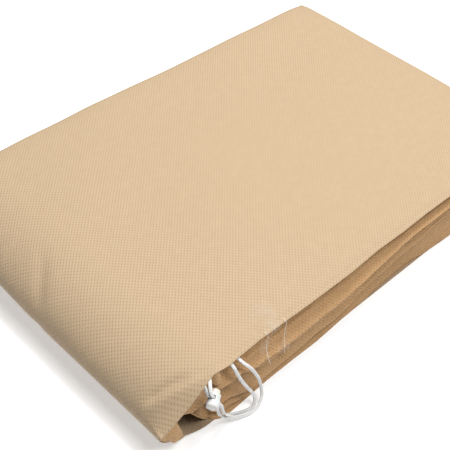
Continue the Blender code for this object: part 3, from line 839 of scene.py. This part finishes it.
# Each leaf: name, the CAD node it replaces, edge, top line, how far it reaches into the pack, flare, crumple,
# seed and puckers. A small leaf is part of the leaf before it, and is listed with it.
LEAVES = (
    ("second_leaf_cloth", "second_leaf", SECOND_EDGE, SECOND_TOP, 30.0, 1.7, 0.35, 31, ()),
    ("under_leaf_cloth", None, UNDER_EDGE, UNDER_TOP, 0.8, 1.6, 0.15, 33, ()),
    ("hem_pleat_cloth", None, PLEAT_EDGE, PLEAT_TOP, 1.0, 1.0, 0.05, 43, ()),
    ("third_leaf_cloth", None, THIRD_EDGE, THIRD_TOP, 1.5, 1.5, 0.45, 35,
     ((93.5, 0.72, 3.4, 0.14, 2.2), (131.0, 0.45, 12.0, 0.10, 0.8), (176.0, 0.5, 14.0, 0.12, 0.8))),
    ("third_leaf_flap_cloth", None, FLAP_EDGE, FLAP_TOP, 0.8, 1.4, 0.2, 37, ()),
    ("bottom_skirt_cloth", None, SKIRT_EDGE, SKIRT_TOP, 1.5, 1.9, 0.3, 39, ()),
    ("lifted_skirt_cloth", None, LIFT_EDGE, LIFT_TOP, 0.6, 1.5, 0.1, 41, ()),
    ("roll_lining_cloth", None, LINING_EDGE, LINING_TOP, 3.0, 1.6, 0.3, 45, ()),
    ("inner_corner_cloth", None, INNER_EDGE, INNER_TOP, 2.5, 1.6, 0.25, 47, ()),
)
SMALL_LEAVES = ("under_leaf_cloth", "hem_pleat_cloth", "third_leaf_flap_cloth", "lifted_skirt_cloth",
                "inner_corner_cloth")


def leaves():
    """Makes every hanging leaf, and lists each one together with its small leaves."""
    sheets = []
    for name, node, edge, top, back, flare, crumple, seed, puckers in LEAVES:
        grid = hanging_leaf(edge, top, back, flare, crumple, seed, puckers)
        piece = cloth_piece(name, grid, thickness=DOUBLE, mat=SHADED_CLOTH)
        body_piece(piece, "root", "tan_nonwoven", *([node] if node else []))
        if name in SMALL_LEAVES:
            sheets[-1][2].append(piece)
        else:
            sheets.append((piece, grid, []))


leaves()


# ---------------------------------------- crumpled corner in the roll's end

# Rows of points from the fold's peak down, each from the roll's inner side to the pack
CRUMPLE = (
    ((9.8, 1.4, 25.4), (10.6, 0.9, 25.8), (11.6, 0.2, 26.0), (12.0, 0.9, 25.4), (12.6, 1.8, 24.8)),
    ((4.8, 1.1, 23.9), (7.8, 0.9, 23.2), (11.4, -0.8, 22.0), (12.8, 1.1, 20.6), (14.4, 2.2, 19.4)),
    ((1.4, 1.0, 22.0), (5.4, 1.3, 20.2), (11.0, -1.5, 18.0), (13.4, 1.0, 15.6), (16.2, 2.2, 13.8)),
    ((2.6, 1.2, 17.4), (5.8, 1.5, 16.2), (10.6, -1.5, 14.2), (14.0, 1.0, 10.9), (17.8, 2.0, 8.4)),
    ((6.0, 1.8, 12.8), (7.8, 1.6, 12.2), (10.4, -0.5, 10.6), (14.0, 1.0, 7.4), (18.6, 1.7, 4.8)),
    ((8.6, 2.2, 9.6), (9.4, 2.0, 9.2), (10.6, 0.8, 8.4), (14.6, 1.3, 5.2), (19.2, 1.9, 3.2)),
)


def loft(rows, down, across):
    """A sheet through rows of points: smooth down the rows, and creased at each column across them."""
    rows = np.array(rows, dtype=float)
    columns = np.arange(rows.shape[1])
    places = np.linspace(0, columns[-1], across)
    wide = np.zeros((len(rows), across, 3))
    for row, spread in zip(rows, wide):
        for k in range(3):
            spread[:, k] = np.interp(places, columns, row[:, k])
    steps = np.linspace(0, len(rows) - 1, down)
    return np.stack([through(wide[:, j], steps) for j in range(across)], axis=1)


def corner_fold():
    grid = loft(CRUMPLE, 30, 33)
    crinkle = 0.18 * ripples(grid[:, :, 0], grid[:, :, 2], 9.0, 7.0, 51)
    grid = grid + grid_normals(grid) * crinkle[:, :, None]
    grid[:, :, 2] = np.maximum(grid[:, :, 2], 0.5)
    piece = cloth_piece("corner_fold_cloth", grid, thickness=CORNER_CLOTH, mat=SHADED_CLOTH)
    body_piece(piece, "root", "tan_nonwoven", "corner_fold")


corner_fold()


# ---------------------------------------- folded plies inside the pack

# Each group: node, number of plies, and how far the folds stay back at the layered side
PLY_GROUPS = (
    ("hem_skirt_plies", 3, 10.0), ("front_panel_plies", 3, 10.5), ("left_panel_plies", 3, 10.0),
    ("back_panel_plies", 3, 11.0), ("third_leaf_plies", 2, 10.4), ("right_panel_plies", 4, 11.0),
    ("crown_panel_plies", 3, 11.0), ("inner_fold_plies", 3, 12.0), ("upper_fold_plies", 3, 25.0),
)
CORNER_ROOM = 11.0        # more room in front of the folds inside the roll's open end


def folded_plies(name, plies, front, seed):
    """One panel folded to and fro like a fan: plies on each other, with round folds front and back."""
    low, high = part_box(name)
    x0, x1 = (low.x - X_ROLL) / MM, (high.x - X_ROLL) / MM
    y1 = (high.y - Y_LEAF) / MM
    z0, z1 = low.z / MM, high.z / MM
    pitch = (z1 - z0) / plies
    rng = np.random.default_rng(seed)
    inner = np.concatenate(([0.0, 0.012, 0.03], np.linspace(0.06, 0.94, 22), [0.97, 0.988, 1.0]))
    turn = np.linspace(-90, 90, 7)[1:-1]
    spots = []                 # share of the way back, height, ply number, how far the fold stands out
    for k in range(plies):
        middle = z0 + pitch * (k + 0.5)
        shares = inner if k % 2 == 0 else inner[::-1]
        spots += [(s, middle, k, 0.0) for s in shares]
        if k < plies - 1:
            out = 1.0 if k % 2 == 0 else -1.0
            for angle in np.radians(turn):
                height = middle + pitch / 2 * (1 + math.sin(angle))
                spots.append((0.5 + 0.5 * out, height, k + 0.5, out * pitch / 2 * math.cos(angle)))
    share, z, ply, stand = (np.array(column)[:, None] for column in zip(*spots))
    steps = np.concatenate(([0.0, 0.004], np.linspace(0.012, 0.988, 78), [0.996, 1.0]))[None, :]
    back_set = np.interp(ply, np.arange(plies + 1), rng.uniform(0.2, 3.2, plies + 1))
    front_set = np.interp(ply, np.arange(plies + 1), rng.uniform(0.0, 2.2, plies + 1))
    end_set = np.interp(ply, np.arange(plies + 1), rng.uniform(0.2, 4.6, plies + 1))
    start_set = np.interp(ply, np.arange(plies + 1), rng.uniform(0.5, 4.0, plies + 1))
    x = x0 + start_set + steps * (x1 - end_set - x0 - start_set)
    near = front + front_set + CORNER_ROOM * (1 - smoothstep((x - 24.0) / 34.0)) * (x0 < 60.0)
    far = y1 - pitch / 2 - back_set - 0.5 * (1 + ripples(x, ply * 9.0, 80.0, 12.0, seed + 1))
    y = near + share * (far - near) + stand
    edge = np.exp(-(x1 - x) / 8.0) + np.exp(-(y1 - y) / 6.0)
    loose = 0.16 * pitch * ripples(x + 31.0 * ply, y, 55.0, 55.0, seed + 2) * np.minimum(edge, 1.0)
    z = z + loose + (pack_wave(x, y) - 0.4) * smoothstep(z / 46.0)
    x = x + 0.6 * ripples(y, ply * 9.0, 60.0, 12.0, seed + 3) * smoothstep((x - x1 + 30.0) / 30.0)
    return np.stack((x, y, z), axis=-1)


def plies():
    """The groups of plies from the bottom up, each lying on the one below."""
    for number, (name, count, front) in enumerate(PLY_GROUPS):
        grid = folded_plies(name, count, front, 60 + 5 * number)
        piece = cloth_piece(name + "_cloth", grid, thickness=PACKED, mat=SHADED_CLOTH)
        body_piece(piece, "root", "tan_nonwoven", name)


plies()


# ---------------------------------------- hems

# A stitch's length, the gap to the next one, the thread, and the seam's distance from the hem's inner edge
STITCH = 3.2
STITCH_GAP = 1.1
THREAD = 0.35
SEAM_INSET = 3.2


def hem_grid(low, high, along_x):
    """A flattened tube of doubled fabric, soft in section and a little uneven along its length."""
    low, high = (np.array(corner) / MM for corner in (low, high))
    low[0], high[0] = low[0] - X_ROLL / MM, high[0] - X_ROLL / MM
    low[1], high[1] = low[1] - Y_LEAF / MM, high[1] - Y_LEAF / MM
    across, along = (1, 0) if along_x else (0, 1)
    angle = np.linspace(0, 2 * math.pi, 41)
    c = np.sign(np.cos(angle)) * np.abs(np.cos(angle)) ** 0.55
    s = np.sign(np.sin(angle)) * np.abs(np.sin(angle)) ** 0.8
    middle = (low + high) / 2
    size = (high - low) / 2 - 0.25
    run = np.linspace(low[along], high[along], int((high[along] - low[along]) / 3))[None, :]
    puff = 1 - 0.10 * (1 + ripples(run, 0.0, 22.0, 10.0, 71))
    grid = np.zeros((len(angle), run.shape[1], 3))
    grid[:, :, along] = run
    waver = 1 - 0.03 * ripples(run, 0.0, 60.0, 9.0, 72) ** 2
    grid[:, :, across] = middle[across] + size[across] * c[:, None] * waver
    grid[:, :, 2] = middle[2] + size[2] * s[:, None] * puff
    return grid[::-1] if along_x else grid


def stitch_row(points, direction, out):
    """Short thread stitches along a line, as small round-ended arches."""
    verts, faces, coords = [], [], []
    side = direction.cross(out)
    for start in points:
        base = len(verts)
        for i in range(9):
            t = i / 8
            centre = start + direction * (t * STITCH) + out * (0.18 * math.sin(math.pi * t))
            radius = THREAD / 2 * (0.35 + 0.65 * math.sin(math.pi * min(max(t, 0.06), 0.94)) ** 0.4)
            for j in range(8):
                a = 2 * math.pi * j / 8
                verts.append(centre + (side * math.cos(a) + out * math.sin(a)) * radius)
                coords.append((t * STITCH * MM, j / 8 * THREAD * MM))
        for i in range(8):
            for j in range(8):
                k = (j + 1) % 8
                faces.append((base + i * 8 + j, base + i * 8 + k, base + i * 8 + 8 + k, base + i * 8 + 8 + j))
        faces.append(tuple(base + j for j in range(7, -1, -1)))
        faces.append(tuple(base + 64 + j for j in range(8)))
    return verts, faces, coords


def hems():
    """The two stretches of hem that the cord runs in, each with its row of stitches."""
    for name, box, along_x in (("front_hem", (FRONT_HEM_LOW, FRONT_HEM_HIGH), True),
                               ("side_hem", (SIDE_HEM_LOW, SIDE_HEM_HIGH), False)):
        grid = hem_grid(*box, along_x)
        tube = cloth_piece(name + "_cloth", grid, thickness=HEM_CLOTH)
        body_piece(tube, "root", "tan_nonwoven", name)
        low, high = box
        direction = Vector((1, 0, 0)) if along_x else Vector((0, 1, 0))
        x, y = (low.x - X_ROLL) / MM, (low.y - Y_LEAF) / MM
        far = (high - low) / MM
        top = low.z / MM + far.z * 0.93
        length = far.x if along_x else far.y
        starts = np.arange(2.0, length - STITCH - 2.0, STITCH + STITCH_GAP)
        inner = (x, y + far.y - SEAM_INSET, top) if along_x else (x + far.x - SEAM_INSET, y, top)
        places = [Vector(inner) + direction * float(s) for s in starts]
        verts, faces, coords = stitch_row(places, direction, Vector((0, 0, 1)))
        thread = mesh_object(name + "_stitches", world(verts), faces, coords, CLOTH)
        body_piece(thread, "root", "tan_nonwoven")


hems()


# ---------------------------------------- clear film tab

def film_tab():
    """Clear film on the top leaf, bent over its edge and hanging down in front of the second leaf."""
    x0, x1 = (TAB_LOW.x - X_ROLL) / MM, (TAB_HIGH.x - X_ROLL) / MM
    back = (TAB_HIGH.y - Y_LEAF) / MM
    line = ((back, 46.45), (back * 0.6, 46.5), (back * 0.25, 46.5), (1.5, 46.45), (-0.6, 46.2), (-1.5, 45.0),
            (-1.7, 42.6), (-2.2, 38.6), (-3.4, 33.6), (-4.9, 28.6), (-5.6, 25.2))
    path = through([(0.0, y, z) for y, z in line], np.linspace(0, len(line) - 1, 60))
    xs = np.linspace(x0, x1, 36)
    x = np.repeat(xs[None, :], len(path), axis=0)
    y = np.repeat(path[:, 1:2], len(xs), axis=1)
    z = np.repeat(path[:, 2:3], len(xs), axis=1)
    z = z + np.where(y > 0, pack_wave(x, y) * smoothstep(y / 30.0 + 0.3), 0.0) * smoothstep(y / 3.0)
    z = z + 0.2 * np.abs(ripples(x, y + z, 16.0, 26.0, 81)) * (z >= 45.5)
    grid = np.stack((x, y, z), axis=-1)
    piece = cloth_piece("closure_film", grid, thickness=FILM_THICK, mat=FILM)
    body_piece(piece, "top_leaf_body", "clear_film", "closure_tab")


film_tab()


# ---------------------------------------- floor, light and the CAD nodes that stay

FLOOR_SIZE = 8.0
FLOOR_TONE = 0.62
FLOOR_GLOW = 0.45             # keeps the shadows on the white floor faint
WORLD_LIGHT = 0.16
# Area lights: name, place and size in metres, and power in watts
LIGHTS = (("key", (0.45, 0.20, 1.5), 0.7, 31.0), ("fill", (0.0, -0.62, 1.4), 0.6, 16.0))


def floor():
    bpy.ops.mesh.primitive_plane_add(size=FLOOR_SIZE, location=(0, 0, 0))
    obj = bpy.context.object
    obj.name = "floor"
    mat, _, bsdf = new_material("floor_white")
    set_values(bsdf, {"Base Color": (FLOOR_TONE, FLOOR_TONE, FLOOR_TONE, 1.0), "Roughness": 0.9,
                      "Emission Color": (1.0, 1.0, 1.0, 1.0), "Emission Strength": FLOOR_GLOW})
    obj.data.materials.append(mat)


def area_light(name, place, size, power):
    """A square light that faces the pack."""
    data = bpy.data.lights.new(name, "AREA")
    data.shape = "SQUARE"
    data.size = size
    data.energy = power
    obj = link(bpy.data.objects.new(name, data))
    obj.location = place
    obj.rotation_euler = (-Vector(place)).to_track_quat("-Z", "Y").to_euler()


def studio():
    world_light = bpy.data.worlds.new("studio")
    bpy.context.scene.world = world_light
    world_light.use_nodes = True
    background = world_light.node_tree.nodes["Background"]
    background.inputs["Color"].default_value = (1.0, 1.0, 1.0, 1.0)
    background.inputs["Strength"].default_value = WORLD_LIGHT
    for light in LIGHTS:
        area_light(*light)
    bpy.context.scene.view_settings.view_transform = "Standard"
    bpy.context.scene.view_settings.look = "None"


def dress(node, mat):
    frame["nodes"][node].data.materials.clear()
    frame["nodes"][node].data.materials.append(mat)


floor()
studio()
dress("cord_lock_spring", STEEL)
dress("front_hem_cord", BRAID)
dress("side_hem_cord", BRAID)
